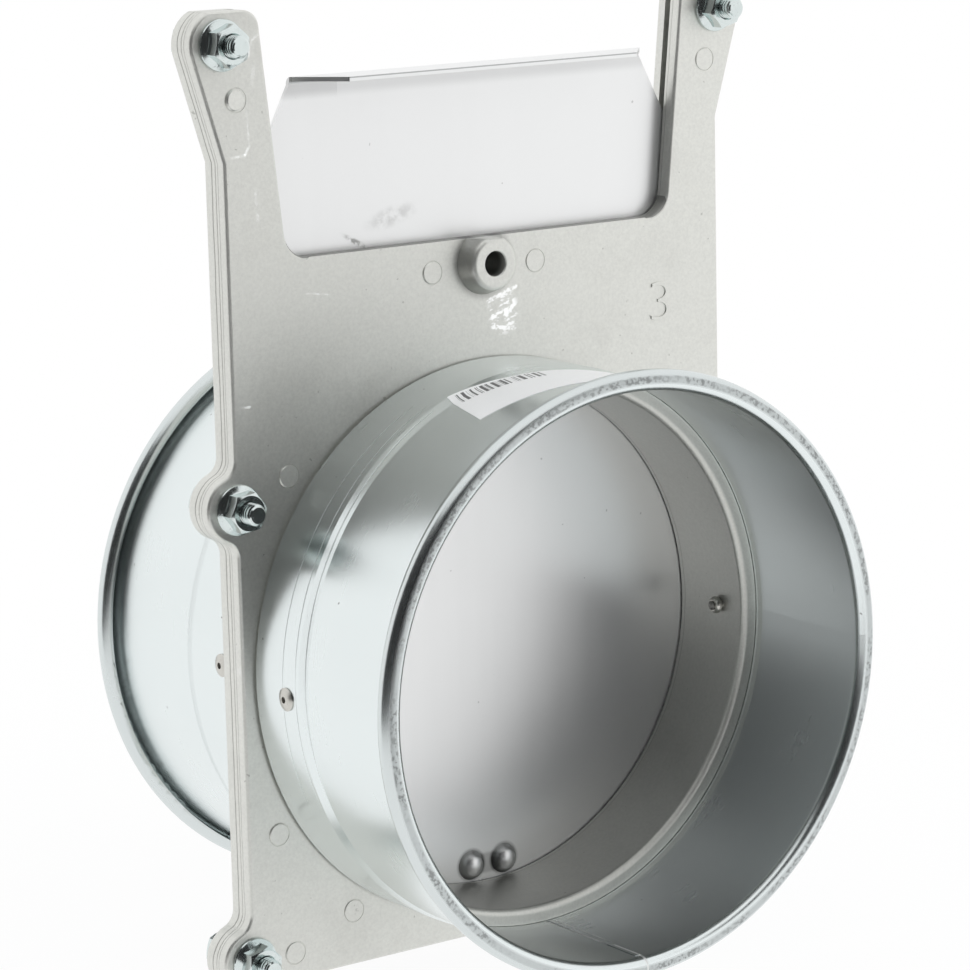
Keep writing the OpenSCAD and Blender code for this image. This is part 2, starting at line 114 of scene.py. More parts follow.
class Finish(Nodes):
    """A material made of nodes around one Principled shader, in metres of the object."""

    def __init__(self, name, **constants):
        self.material = bpy.data.materials.new(name)
        self.material.use_nodes = True
        super().__init__(self.material.node_tree)
        self.shader = self.tree.nodes["Principled BSDF"]
        for label, value in constants.items():
            self.shader.inputs[label.replace("_", " ")].default_value = value
        self.place = self.node("ShaderNodeTexCoord", output="Object")
        self.x, self.y, self.z = (
            self.node("ShaderNodeSeparateXYZ", {}, {0: self.place}, axis) for axis in "XYZ"
        )

    def noise(self, scale, detail=2.0, rough=0.5, place=None):
        return self.node(
            "ShaderNodeTexNoise", {},
            {"Vector": place or self.place, "Scale": scale, "Detail": detail, "Roughness": rough},
        )

    def ease(self, value, low, high):
        """0 up to low, 1 from high on, and smooth between them."""
        return self.node(
            "ShaderNodeMapRange", {"interpolation_type": "SMOOTHSTEP"},
            {"Value": value, "From Min": low, "From Max": high},
        )

    def line(self, value, middle, half_width, soft):
        """1 on a thin line where the value is near its middle, and 0 beside it."""
        return 1 - self.ease(abs(value - middle), half_width, half_width + soft)

    def point(self, x, y, z):
        return self.node("ShaderNodeCombineXYZ", {}, {0: x, 1: y, 2: z})

    def reach(self, x, y, z):
        """The distance from zero to a point."""
        there = self.point(x, y, z)
        return self.node("ShaderNodeVectorMath", {"operation": "LENGTH"}, {0: there}, "Value")

    def blend(self, share, first, second):
        inputs = {0: share, 6: first, 7: second}
        return self.node("ShaderNodeMix", {"data_type": "RGBA"}, inputs, 2)

    def shade(self, colour, factor):
        """The colour made darker or lighter by a number."""
        inputs = {0: colour, "Scale": factor}
        return self.node("ShaderNodeVectorMath", {"operation": "SCALE"}, inputs)

    def bump(self, height, depth, strength=1.0):
        inputs = {"Height": height, "Distance": depth, "Strength": strength}
        return self.node("ShaderNodeBump", {}, inputs)

    def feed(self, **sockets):
        for label, value in sockets.items():
            self.tree.links.new(value.socket, self.shader.inputs[label.replace("_", " ")])


# Scratches in the front face, in millimetres: from x, z to x, z, and half the width. Those on
# the left side are faint, and the two under the boss are bright.
faint_scratches = (
    (-70.6, 173.0, -73.1, 171.2, 0.45), (-73.1, 171.2, -74.3, 167.0, 0.35),
    (-72.9, 164.4, -73.5, 160.1, 0.65), (-75.5, 153.2, -75.0, 143.7, 0.32),
    (-75.0, 143.7, -76.6, 141.4, 0.45), (-76.6, 141.4, -80.7, 141.0, 0.50),
    (-73.6, 131.3, -73.4, 128.4, 0.55), (-73.3, 125.6, -73.2, 124.0, 0.60),
    (-59.0, 103.1, -51.0, 102.1, 0.26), (-80.7, 74.8, -77.6, 74.7, 0.45),
)
bright_scratches = ((10.6, 97.9, 1.2, 94.8, 0.80), (2.7, 87.4, 9.9, 86.4, 0.75))


def scratch_on(finish, x, z, to_x, to_z, half_width, ragged):
    """1 on one scratch and 0 beside it, with a ragged edge."""
    wide, high = (to_x - x) / 1000, (to_z - z) / 1000
    span = wide * wide + high * high
    across, up = finish.x - x / 1000, finish.z - z / 1000
    share = finish.node(
        "ShaderNodeMath", {"operation": "ADD", "use_clamp": True},
        {0: across * (wide / span), 1: up * (high / span)},
    )
    off = finish.reach(across - share * wide, 0.0, up - share * high)
    return 1 - finish.ease(off + ragged, half_width / 2500, half_width / 1000)


def scratches_on(finish):
    """All the scratches and the scuffed patch under the boss, in the front face only."""
    ragged = (finish.noise(1500) - 0.5) * 0.0009
    rubbed_out = 0.14 + finish.ease(finish.noise(560, 3.0, 0.6), 0.46, 0.60) * 0.46
    marks = sum(scratch_on(finish, *line, ragged) for line in faint_scratches) * rubbed_out
    torn_edge = finish.ease(finish.noise(1300, 3.0, 0.7), 0.40, 0.50)
    for line in bright_scratches:
        marks = marks + scratch_on(finish, *line, ragged) * torn_edge
    patch = 1 - finish.ease(
        finish.reach((finish.x - 0.0062) * 180, 0.0, (finish.z - 0.0914) * 145), 0.70, 1.10
    )
    slanted = finish.point(
        (finish.x + finish.z * 0.3) * 300, 0.0, (finish.z - finish.x * 0.3) * 620
    )
    torn = finish.ease(finish.noise(1.0, 3.0, 0.6, slanted), 0.50, 0.56)
    return finish.maths("MINIMUM", marks + patch * torn, 1.0) * (finish.y < 0.0652)


# The tapped boss on the front casting, in millimetres: where it ends, how high its middle is,
# and the radius of its end and of its hole.
boss_front, boss_z, boss_radius, boss_hole_radius = 59.65, 105.8, 7.4, 3.4


def painted_boss_shade_on(finish):
    """Painted shade round the boss's foot, and down its hole, growing darker with depth."""
    off = finish.reach(finish.x, 0.0, finish.z - boss_z / 1000)
    foot = finish.ease(off, 0.0070, 0.0078) - finish.ease(off, 0.0088, 0.0112)
    foot = foot * (finish.y > 0.0603)
    hole = (1 - finish.ease(off, 0.0034, 0.0036)) * finish.ease(finish.y, 0.0598, 0.0632)
    return (foot * 0.30 + hole * 0.68) * (finish.y < 0.0690)


def make_casting():
    casting = Finish("casting_finish", Metallic=0.9)
    grain = casting.noise(1100, 3.0, 0.6)
    cloud = casting.noise(11)
    stains = casting.ease(casting.noise(34, 4.0, 0.65), 0.50, 0.78)
    pits = casting.ease(casting.noise(420, 2.0, 0.6), 0.72, 0.78)
    combed = casting.point(casting.x * 900 + casting.z * 120, casting.y * 40, casting.z * 14)
    rubs = casting.ease(casting.noise(1.0, 2.0, 0.5, combed), 0.70, 0.78)
    rubs = rubs * casting.ease(cloud, 0.50, 0.62)
    wander = (casting.noise(90) - 0.5) * 0.0008
    parting = casting.line(casting.y + wander, 0.07135, 0.00012, 0.00016)
    parting = parting + casting.line(casting.y - wander, 0.06840, 0.00006, 0.00014) * 0.6
    scratches = scratches_on(casting)
    # Painted shade on the floor of the blade's notch, between the plates.
    notch_floor_painted_shade = (casting.y > 0.0653) * (casting.z > 0.1126) * (casting.z < 0.1200)
    notch_floor_painted_shade = notch_floor_painted_shade * (abs(casting.x) < 0.0645)
    radius = casting.reach(casting.x, 0.0, casting.z)
    # Painted shade inside both spigots' bores, darker towards their bottom.
    bore = 1 - casting.ease(radius, 0.07375, 0.0740)
    painted_bore_shade = bore * (0.30 + casting.ease(0 - casting.z, 0.0, 0.06) * 0.12)
    colour = casting.blend(cloud, (0.712, 0.716, 0.680), (0.784, 0.788, 0.750))
    colour = casting.blend(stains * 0.16, colour, (0.42, 0.41, 0.38))
    colour = casting.shade(colour, 0.86 + grain * 0.28)
    colour = casting.blend(pits * 0.45, colour, (0.26, 0.25, 0.23))
    colour = casting.blend(rubs * 0.35, colour, (0.80, 0.80, 0.79))
    colour = casting.blend(parting * 0.55, colour, (0.16, 0.155, 0.14))
    colour = casting.shade(colour, 1 - painted_bore_shade)
    # Painted shade on the notch's floor, round the boss's foot and down its hole.
    colour = casting.shade(colour, 1 - notch_floor_painted_shade * 0.55 - painted_boss_shade_on(casting))
    colour = casting.blend(scratches, colour, (0.97, 0.97, 0.96))
    casting.feed(
        Base_Color=colour,
        Roughness=0.38 + grain * 0.12 - rubs * 0.10 + scratches * 0.15,
        Metallic=0.9 - scratches * 0.8,
        Normal=casting.bump(grain * 0.6 - pits * 0.8 + cloud * 0.3 - parting * 3, 0.00004, 0.7),
    )
    return casting


def in_scene(name, data):
    """A new object in the scene, for a mesh, a lamp or the camera."""
    made = bpy.data.objects.new(name, data)
    bpy.context.scene.collection.objects.link(made)
    return made


def alone(piece):
    """Selects one piece and nothing else."""
    bpy.ops.object.select_all(action="DESELECT")
    piece.select_set(True)
    bpy.context.view_layer.objects.active = piece


def copy_of(node, name):
    """A CAD node's mesh as a piece of its own, merged into whole faces."""
    piece = in_scene(name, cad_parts[node].data.copy())
    alone(piece)
    bpy.ops.mesh.customdata_custom_splitnormals_clear()
    bpy.ops.object.mode_set(mode="EDIT")
    bpy.ops.mesh.select_all(action="SELECT")
    bpy.ops.mesh.remove_doubles(threshold=0.000002)
    bpy.ops.mesh.dissolve_limited(angle_limit=math.radians(0.4), delimit=set())
    bpy.ops.object.mode_set(mode="OBJECT")
    return piece


def round_edges(piece, wanted, width, steps):
    """Bevels the sharp edges that the test picks by their two ends, in millimetres."""
    alone(piece)
    bpy.ops.object.mode_set(mode="EDIT")
    bpy.ops.mesh.select_mode(type="EDGE")
    bpy.ops.mesh.select_all(action="DESELECT")
    shape = bmesh.from_edit_mesh(piece.data)
    for edge in shape.edges:
        if edge.is_manifold and edge.calc_face_angle(0) > math.radians(32):
            edge.select = all(wanted(vertex.co * 1000) for vertex in edge.verts)
    shape.select_flush_mode()
    bmesh.update_edit_mesh(piece.data)
    bpy.ops.mesh.bevel(offset=width / 1000, segments=steps, profile=0.5, clamp_overlap=False)
    bpy.ops.object.mode_set(mode="OBJECT")


# The six screws stand on both sides at three heights, in millimetres. The plates' outline keeps
# clear of the middles of the duct, the boss and the screws by these radii.
screw_x, screw_heights = 82.6, {"top": 170.5, "mid": 47.5, "low": -78.4}
duct_clear, boss_clear, screw_clear = 81.5, 9.4, 5


def outline_at(height):
    """Picks the edges of the plates' outer outline at one depth."""

    def wanted(end):
        to_screw = min(math.hypot(abs(end.x) - screw_x, end.z - z) for z in screw_heights.values())
        return (
            abs(end.y - height) <= 0.02
            and math.hypot(end.x, end.z) >= duct_clear
            and math.hypot(end.x, end.z - boss_z) >= boss_clear
            and to_screw >= screw_clear
        )

    return wanted


def boss_ring(radius):
    """Picks the edges at the boss's end that have one radius."""

    def wanted(end):
        off = math.hypot(end.x, end.z - boss_z)
        return abs(end.y - boss_front) < 0.05 and abs(off - radius) < 0.1

    return wanted


def finish_with(piece, kind, **settings):
    """Adds one modifier and applies it."""
    alone(piece)
    bpy.ops.object.modifier_add(type=kind)
    modifier = piece.modifiers[-1]
    for label, value in settings.items():
        setattr(modifier, label, value)
    bpy.ops.object.modifier_apply(modifier=modifier.name)


def profile_line(name, profile):
    """An open line of (radius, y) points in millimetres, as an object to be turned."""
    mesh = bpy.data.meshes.new(name)
    mesh.from_pydata(
        [(radius / 1000, y / 1000, 0) for radius, y in profile],
        [(start, start + 1) for start in range(len(profile) - 1)], [],
    )
    piece = in_scene(name, mesh)
    alone(piece)
    return piece


def turned(name, profile, steps=96):
    """A turned solid about the y axis, from (radius, y) points in millimetres."""
    piece = profile_line(name, profile)
    bpy.ops.object.mode_set(mode="EDIT")
    bpy.ops.mesh.select_all(action="SELECT")
    bpy.ops.mesh.spin(steps=steps, angle=2 * math.pi, center=(0, 0, 0), axis=(0, 1, 0))
    bpy.ops.mesh.select_all(action="SELECT")
    bpy.ops.mesh.remove_doubles(threshold=0.0000005)
    bpy.ops.mesh.normals_make_consistent(inside=False)
    bpy.ops.object.mode_set(mode="OBJECT")
    return piece


def weld_points(piece):
    """Merges the points that a cut or a join leaves in one place."""
    finish_with(piece, "WELD", merge_threshold=0.000003)


def cut_with(piece, tool, operation):
    """Joins or cuts with a closed tool, then closes the slits that this may leave."""
    finish_with(piece, "BOOLEAN", operation=operation, object=tool, solver="EXACT")
    bpy.data.objects.remove(tool)
    weld_points(piece)
    bpy.ops.object.mode_set(mode="EDIT")
    bpy.ops.mesh.select_all(action="SELECT")
    bpy.ops.mesh.fill_holes(sides=4)
    bpy.ops.object.mode_set(mode="OBJECT")


def joined(parts):
    """The parts as one object, in the first one's name, with its place in its mesh."""
    alone(parts[0])
    for part in parts:
        part.select_set(True)
    bpy.ops.object.join()
    bpy.ops.object.transform_apply(location=True, rotation=True, scale=True)
    return bpy.context.object


def smooth(piece, degrees=35):
    alone(piece)
    bpy.ops.object.shade_smooth_by_angle(angle=math.radians(degrees))
    finish_with(piece, "WEIGHTED_NORMAL", keep_sharp=True, weight=80)


def dress(piece, finish, body, slot, *nodes):
    """Gives a piece its finish and the body it rides on, and hides the CAD nodes it takes the place
    of.
    """
    piece.data.materials.clear()
    piece.data.materials.append(finish.material)
    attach(piece, body)
    if nodes:
        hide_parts(*nodes)


# Where the castings' outer faces lie across the duct, and where they meet, in millimetres.
front_face, split_face, rear_face = 65.15, 69.65, 75.15
casting = make_casting()
front_casting = copy_of("front_plate", "front_casting")
round_edges(front_casting, outline_at(front_face), 0.9, 4)
round_edges(front_casting, outline_at(split_face), 0.3, 2)
round_edges(front_casting, boss_ring(boss_radius), 1.3, 5)
round_edges(front_casting, boss_ring(boss_hole_radius), 0.5, 3)
rear_casting = copy_of("rear_plate", "rear_casting")
round_edges(rear_casting, outline_at(rear_face), 0.9, 4)
round_edges(rear_casting, outline_at(split_face), 0.3, 2)

# The spigots' drafted bores are cut again with a rounder edge at the end. The draft is an
# angle, and the other values are in millimetres.
front_end, rear_end = 43.65, 96.65
bore_draft, bore_mouth, bore_length, bore_edge = math.radians(3.74), 73.82, 26.6, 2.0
spigot_end_radius, spigot_rim_radius = 77.4, 78.3


def recut_bore(piece, end, inward):
    """Widens a spigot's end nearly to the collar, and cuts its bore with a rounded edge."""
    for vertex in piece.data.vertices:
        radius = math.hypot(vertex.co.x, vertex.co.z) * 1000
        if abs(vertex.co.y * 1000 - end) < 0.01 and abs(radius - spigot_end_radius) < 0.2:
            vertex.co.x *= spigot_rim_radius / radius
            vertex.co.z *= spigot_rim_radius / radius
    middle = bore_mouth - bore_edge * math.tan(bore_draft) + bore_edge / math.cos(bore_draft)
    profile = [(0, -1), (middle, -1)]
    for step in range(13):
        angle = (math.pi / 2 - bore_draft) * step / 12
        depth = bore_edge - bore_edge * math.cos(angle)
        profile.append((middle - bore_edge * math.sin(angle), depth))
    profile += [(bore_mouth - bore_length * math.tan(bore_draft), bore_length), (0, bore_length)]
    points = [(radius, end + inward * depth) for radius, depth in profile]
    cut_with(piece, turned("bore_cutter", points, 180), "DIFFERENCE")


recut_bore(front_casting, front_end, 1)
recut_bore(rear_casting, rear_end, -1)

# Ejector marks, in both outer faces: each pin left a ring, and a round pad that stands a
# little proud on one side. Each has its place, that side's angle and its height.
mark_places = (
    (-78.8, 156, 180, 0.60), (78.8, 156, 200, 0.18),
    (-17.5, 104.5, 215, 0.30), (17.5, 104.5, 200, 0.18),
    (-66.2, 54.5, 225, 0.35), (66.2, 54.5, 180, 0.20),
    (-73.2, -43.9, 140, 0.30), (73.2, -43.9, 120, 0.20),
    (-49.5, -70.4, 140, 0.18), (49.5, -70.4, 60, 0.20),
    (-69.2, -78.5, 190, 0.25), (69.2, -78.5, 0, 0.20),
)
pad_radius, pad_foot_radius, pad_sunk = 3.15, 3.45, 0.3
ring_radius, ring_thickness = 3.2, 0.17


def mark_pads(face, outward):
    """Short tilted cones sunk in one outer face, joined as one tool."""
    pads = []
    for x, z, lean, proud in mark_places:
        tilt = math.atan(proud / 2 / (pad_radius - proud))
        high = Vector((math.cos(math.radians(lean)), 0, math.sin(math.radians(lean))))
        normal = Vector((0, outward, 0)) * math.cos(tilt) - high * math.sin(tilt)
        top = Vector((x, face + outward * proud / 2, z))
        depth = proud + pad_sunk
        bpy.ops.object.select_all(action="DESELECT")
        bpy.ops.mesh.primitive_cone_add(
            vertices=64, radius1=pad_foot_radius / 1000, radius2=(pad_radius - proud) / 1000,
            depth=depth / 1000, location=(top - normal * depth / 2) / 1000,
            rotation=normal.to_track_quat("Z", "Y").to_euler(),
        )
        pads.append(bpy.context.object)
    return joined(pads)


def ring_cutter(face, outward):
    """Thin rings standing in one outer face, to cut the ring of each mark."""
    rings = []
    for x, z, _, _ in mark_places:
        bpy.ops.object.select_all(action="DESELECT")
        bpy.ops.mesh.primitive_torus_add(
            location=(x / 1000, face / 1000 + outward * 0.00001, z / 1000),
            rotation=(math.pi / 2, 0, 0), major_segments=48, minor_segments=6,
            major_radius=ring_radius / 1000, minor_radius=ring_thickness / 1000,
        )
        rings.append(bpy.context.object)
    return joined(rings)


for plate, face, outward in ((front_casting, front_face, -1), (rear_casting, rear_face, 1)):
    cut_with(plate, mark_pads(face, outward), "UNION")
    cut_with(plate, ring_cutter(face, outward), "DIFFERENCE")

# The cavity number stands 0.25 mm proud of the front casting.
bpy.ops.object.select_all(action="DESELECT")
bpy.ops.object.text_add(location=(0, 0, 0))
number = bpy.context.object
number.data.body = "3"
number.data.size = 0.0165
number.data.align_x = "CENTER"
number.data.align_y = "CENTER"
number.data.extrude = 0.00025
number.data.offset = -0.0004
number.data.bevel_depth = 0.00008
bpy.ops.object.convert(target="MESH")
number = bpy.context.object
number.location = (0.0617, front_face / 1000, 0.0879)
number.rotation_euler = (math.pi / 2, 0, 0)
number.scale = (1.25, 1, 1)
bpy.ops.object.transform_apply(location=True, rotation=True, scale=True)
joined([front_casting, number])
weld_points(front_casting)

for plate, node in ((front_casting, "front_plate"), (rear_casting, "rear_plate")):
    smooth(plate)
    dress(plate, casting, "housing", "casting", node)


# The blade is a flat of thin galvanised steel, bent over at the top for the fingers, with two
# pressed dimples that stop it. It's satin, rubbed up and down, with a few grey finger smudges.

# The heights of the lip's underside and of its cut edge, and the dimples' places, in metres.
lip_under, lip_cut = 0.1592, 0.16022
dimple_x, dimple_z = 0.0057, -0.06696


def make_blade_sheet():
    sheet = Finish("blade_finish", Metallic=0.92)
    rolled = sheet.point(sheet.x * 420, sheet.y * 20, sheet.z * 5)
    rubbed = sheet.noise(1.0, 3.0, 0.6, rolled)
    bloom = sheet.noise(26, 3.0, 0.55)
    smudges = []
    for x, z, slope, long, high, blotch in (
        (-0.0270, 0.1205, 0.20, 0.0090, 0.0030, 300),
        (-0.0385, 0.1143, -0.55, 0.0050, 0.0010, 700),
    ):
        rise = (sheet.z - z - (sheet.x - x) * slope) * (1 / high)
        off = sheet.reach((sheet.x - x) * (1 / long), 0.0, rise)
        blotches = sheet.ease(sheet.noise(blotch, 4.0, 0.6), 0.38, 0.62)
        smudges.append((1 - sheet.ease(off, 0.3, 1.2)) * blotches)
    smudge = (smudges[0] * 0.40 + smudges[1]) * (sheet.y < 0.0707)
    specks = sheet.ease(sheet.noise(430, 1.0), 0.79, 0.82)
    # A painted shadow under the bent lip on the blade's face, deeper at the lip's left end.
    shadow_under_lip = 1 - sheet.ease(lip_under - sheet.z, 0.0026, 0.0056)
    painted_lip_shadow = shadow_under_lip * (sheet.y > 0.0690) * (0.14 + (sheet.x < -0.0435) * 0.10)
    lip_edge = sheet.line(sheet.z, lip_cut, 0.00012, 0.00012) * (sheet.y < 0.0574)
    # The dimples' flanks get painted shade, and the sheet between the two dimples is darker.
    dimple = sheet.reach(abs(sheet.x) - dimple_x, 0.0, sheet.z - dimple_z)
    dimple_flank_shade = sheet.ease(dimple, 0.0024, 0.0032) - sheet.ease(dimple, 0.0042, 0.0054)
    between = 1 - sheet.ease(abs(sheet.x), 0.0022, 0.0040)
    between = between * (1 - sheet.ease(abs(sheet.z + 0.0672), 0.0022, 0.0036))
    colour = sheet.blend(bloom, (0.850, 0.855, 0.855), (0.885, 0.89, 0.89))
    colour = sheet.blend(smudge * 0.70, colour, (0.34, 0.34, 0.33))
    colour = sheet.blend(specks * 0.5, colour, (0.35, 0.35, 0.35))
    colour = sheet.blend(lip_edge * 0.65, colour, (0.25, 0.26, 0.26))
    colour = sheet.shade(colour, 1 - painted_lip_shadow - dimple_flank_shade * 0.45 - between * 0.35)
    sheet.feed(
        Base_Color=colour,
        Roughness=0.28 + bloom * 0.08 + rubbed * 0.06 + smudge * 0.2,
        Normal=sheet.bump(rubbed * 0.4 + bloom * 0.3, 0.00002, 0.3),
    )
    return sheet


blade_sheet = make_blade_sheet()
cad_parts["blade"].data.materials[0] = blade_sheet.material


# Each collar is a band of galvanised sheet, welded along its underside and rolled outwards
# at its mouth. It's slipped over its casting's spigot and held by two blind rivets.

# The rear mouth's place, the radius of the rolled lips' middle, and the weld's place beside
# the middle plane, in metres. The front mouth is at zero.
rear_mouth, lip_radius, weld_x = 0.1403, 0.08055, 0.0004


def make_galvanised():
    zinc = Finish("galvanised_finish", Metallic=1.0)
    radius = zinc.reach(zinc.x, 0.0, zinc.z)
    angle = zinc.maths("ARCTAN2", zinc.x, zinc.z)
    drawn = zinc.noise(1.0, 3.0, 0.6, zinc.point(angle * 6, zinc.y * 900, radius * 40))
    bloom = zinc.noise(38, 3.0, 0.55)
    specks = zinc.ease(zinc.noise(430, 1.0), 0.80, 0.82)

    # The zinc is crushed and spotted along the crest of the rolled lip.
    beyond = zinc.maths("MAXIMUM", 0 - zinc.y, zinc.y - rear_mouth)
    crest = zinc.maths("ARCTAN2", radius - lip_radius, beyond)
    band = 1 - zinc.ease(abs(crest - 0.14), 0.22, 0.46)
    crushed = zinc.noise(760, 4.0, 0.7)
    spots = zinc.ease(crushed, 0.47, 0.58) * band * zinc.ease(zinc.noise(60), 0.32, 0.54)

    # Three lines were scored round the front collar's left side as it was slipped on.
    scored = (
        zinc.line(zinc.y, 0.05120, 0.00006, 0.00016)
        + zinc.line(zinc.y - angle * 0.00120, 0.04690, 0.00008, 0.00018)
        + zinc.line(zinc.y - angle * 0.00130, 0.04290, 0.00008, 0.00018)
    )
    scored = scored * (1 - zinc.ease(abs(angle + 1.22), 0.62, 0.80)) * (radius > 0.0785)
    scored = scored * (0.45 + zinc.ease(zinc.noise(70), 0.40, 0.60) * 0.55)

    # The weld shows as two lines inside the collar, and as one nearer the mouth.
    beside = zinc.x - weld_x
    weld = zinc.line(abs(beside), 0.0011, 0.00016, 0.0002) * zinc.ease(zinc.y, 0.013, 0.018)
    mouth_weld = zinc.line(beside, 0.0, 0.00018, 0.0003) * (1 - zinc.ease(zinc.y, 0.011, 0.013))
    weld = (weld + mouth_weld) * (zinc.z < -0.05) * (zinc.y < 0.0405) * (radius < 0.0835)

    # Painted shade darkens the collar's inside. The rolled lip is also a little darker all round,
    # and its crushed crest band is darker still.
    inside, outside = (radius < 0.07815), (radius > 0.0796)
    colour = zinc.blend(bloom, (0.790, 0.845, 0.848), (0.840, 0.890, 0.888))
    colour = zinc.shade(colour, 1 - inside * 0.30 - band * 0.16 - outside * 0.14)
    colour = zinc.blend(spots * 0.70, colour, (0.28, 0.29, 0.29))
    colour = zinc.blend(weld * 0.80, colour, (0.95, 0.96, 0.95))
    colour = zinc.blend(specks * 0.6, colour, (0.20, 0.20, 0.20))
    rough = 0.20 + bloom * 0.08 + drawn * 0.04 + band * 0.10
    rough = rough + spots * 0.2 + scored * 0.30 + weld * 0.3
    height = drawn * 0.25 + bloom * 0.4 + crushed * band * 1.5 - spots * 3 - scored * 3
    zinc.feed(Base_Color=colour, Roughness=rough, Normal=zinc.bump(height, 0.00003, 0.6))
    return zinc


galvanised = make_galvanised()
for node in ("front_collar", "rear_collar"):
    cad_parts[node].data.materials[0] = galvanised.material


def wrap_on(piece, node, lift, thickness):
    """Lays a flat grid on a CAD node's surface, straight down or up, and gives it a wall."""
    finish_with(
        piece, "SHRINKWRAP", target=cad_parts[node], wrap_method="PROJECT",
        use_project_z=True, use_positive_direction=True, use_negative_direction=True,
        offset=lift, wrap_mode="ABOVE_SURFACE",
    )
    finish_with(piece, "SOLIDIFY", thickness=thickness, offset=1.0)


# The weld joins the band's two ends inside the front collar, along its underside.
bpy.ops.object.select_all(action="DESELECT")
bpy.ops.mesh.primitive_grid_add(
    x_subdivisions=6, y_subdivisions=40, size=1, location=(weld_x, 0.0215, -0.070)
)
seam = bpy.context.object
seam.scale = (0.0021, 0.0410, 1)
seam.rotation_euler = (0, 0, math.radians(-1))
bpy.ops.object.transform_apply(location=True, rotation=True, scale=True)
seam.name = "front_collar_weld"
wrap_on(seam, "front_collar", 0.00002, 0.00014)
smooth(seam, 50)
dress(seam, galvanised, "housing", "galvanised_sheet")


# A small paper label is stuck on top of the front collar. It is left without words and has
# only a row of plain bars along its edge nearest the plate.
label_tilt = math.radians(12)
label_corner = (-0.0286, 0.0440)


def make_label_paper():
    paper = Finish("label_finish", Specular_IOR_Level=0.35)
    x, y = paper.x - label_corner[0], paper.y - label_corner[1]
    along = x * math.cos(label_tilt) - y * math.sin(label_tilt)
    across = 0 - y * math.cos(label_tilt) - x * math.sin(label_tilt)
    wide = paper.noise(1.0, 0.0, 0.5, paper.point(along * 900, 0.0, 0.0)) * 0.5
    fine = paper.noise(1.0, 0.0, 0.5, paper.point(along * 2300, 5.0, 0.0)) * 0.5
    bars = paper.ease(wide + fine, 0.49, 0.52)
    row = paper.ease(across, 0.0009, 0.0010) * (1 - paper.ease(across, 0.0064, 0.0065))
    span = paper.ease(along, 0.0018, 0.0019) * (1 - paper.ease(along, 0.0270, 0.0271))
    fibres = paper.noise(700, 3.0, 0.6)
    colour = paper.blend(fibres, (0.93, 0.935, 0.93), (0.97, 0.97, 0.965))
    colour = paper.blend(bars * row * span * 0.9, colour, (0.06, 0.06, 0.06))
    paper.feed(
        Base_Color=colour, Roughness=0.40 + fibres * 0.10, Normal=paper.bump(fibres, 0.00001)
    )
    return paper


label_paper = make_label_paper()
bpy.ops.object.select_all(action="DESELECT")
bpy.ops.mesh.primitive_grid_add(x_subdivisions=60, y_subdivisions=20, size=1)
label = bpy.context.object
label.name = "collar_label"
label.scale = (0.050, 0.0218, 1)
bpy.ops.object.transform_apply(location=False, rotation=False, scale=True)
label.rotation_euler = (0, 0, -label_tilt)
label.location = (-0.0064, 0.0281, 0.095)
bpy.ops.object.transform_apply(location=True, rotation=True, scale=True)
wrap_on(label, "front_collar", 0.00003, 0.0001)
smooth(label, 40)
dress(label, label_paper, "housing", "galvanised_sheet")


# Four blind rivets hold the collars on the spigots. Each has a low round head outside, a
# pulled tail inside, and the stub of its steel pin still in it.


def make_rivet_metals():
    satin = Finish("rivet_finish", Metallic=1.0)
    worn = satin.noise(900, 3.0, 0.6)
    satin.feed(
        Base_Color=satin.blend(worn, (0.56, 0.55, 0.51), (0.70, 0.69, 0.65)),
        Roughness=0.22 + worn * 0.16,
        Normal=satin.bump(worn, 0.00003, 0.6),
    )
    stub = Finish("pin_finish", Metallic=1.0)
    torn = stub.noise(2200, 3.0, 0.7)
    stub.feed(
        Base_Color=stub.blend(torn, (0.16, 0.155, 0.15), (0.44, 0.43, 0.41)),
        Roughness=0.34 + torn * 0.2,
        Normal=stub.bump(torn, 0.00006, 0.8),
    )
    return satin, stub


rivet_satin, rivet_stub = make_rivet_metals()
for node in ("front_rivet", "rear_rivet"):
    for side in ("left", "right"):
        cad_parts[f"{node}_{side}"].data.materials[0] = rivet_satin.material
        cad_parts[f"{node}_pin_{side}"].data.materials[0] = rivet_stub.material


# Six M6 screws with flanged hexagon heads come in from the rear and stand four millimetres
# out of their nuts. They are cold formed, thread rolled and bright zinc plated.


def make_plating():
    plating = Finish("zinc_plating_finish", Metallic=1.0)
    haze = plating.noise(300, 3.0, 0.6)
    pores = plating.ease(plating.noise(1500, 2.0, 0.6), 0.62, 0.72)
    colour = plating.blend(haze, (0.63, 0.70, 0.695), (0.775, 0.83, 0.82))
    colour = plating.blend(pores * 0.25, colour, (0.38, 0.40, 0.41))
    plating.feed(
        Base_Color=colour,
        Roughness=0.12 + haze * 0.10 + pores * 0.1,
        Normal=plating.bump(haze * 0.7 - pores * 0.4, 0.00004, 0.6),
    )
    return plating


# Sizes of the screws and nuts, and where their faces and tips lie across the duct, all in
# millimetres.
across_flats, thread_root, thread_crest = 10, 2.38, 2.92
head_top, nut_end, screw_tip = 81.75, 59.15, 55.15


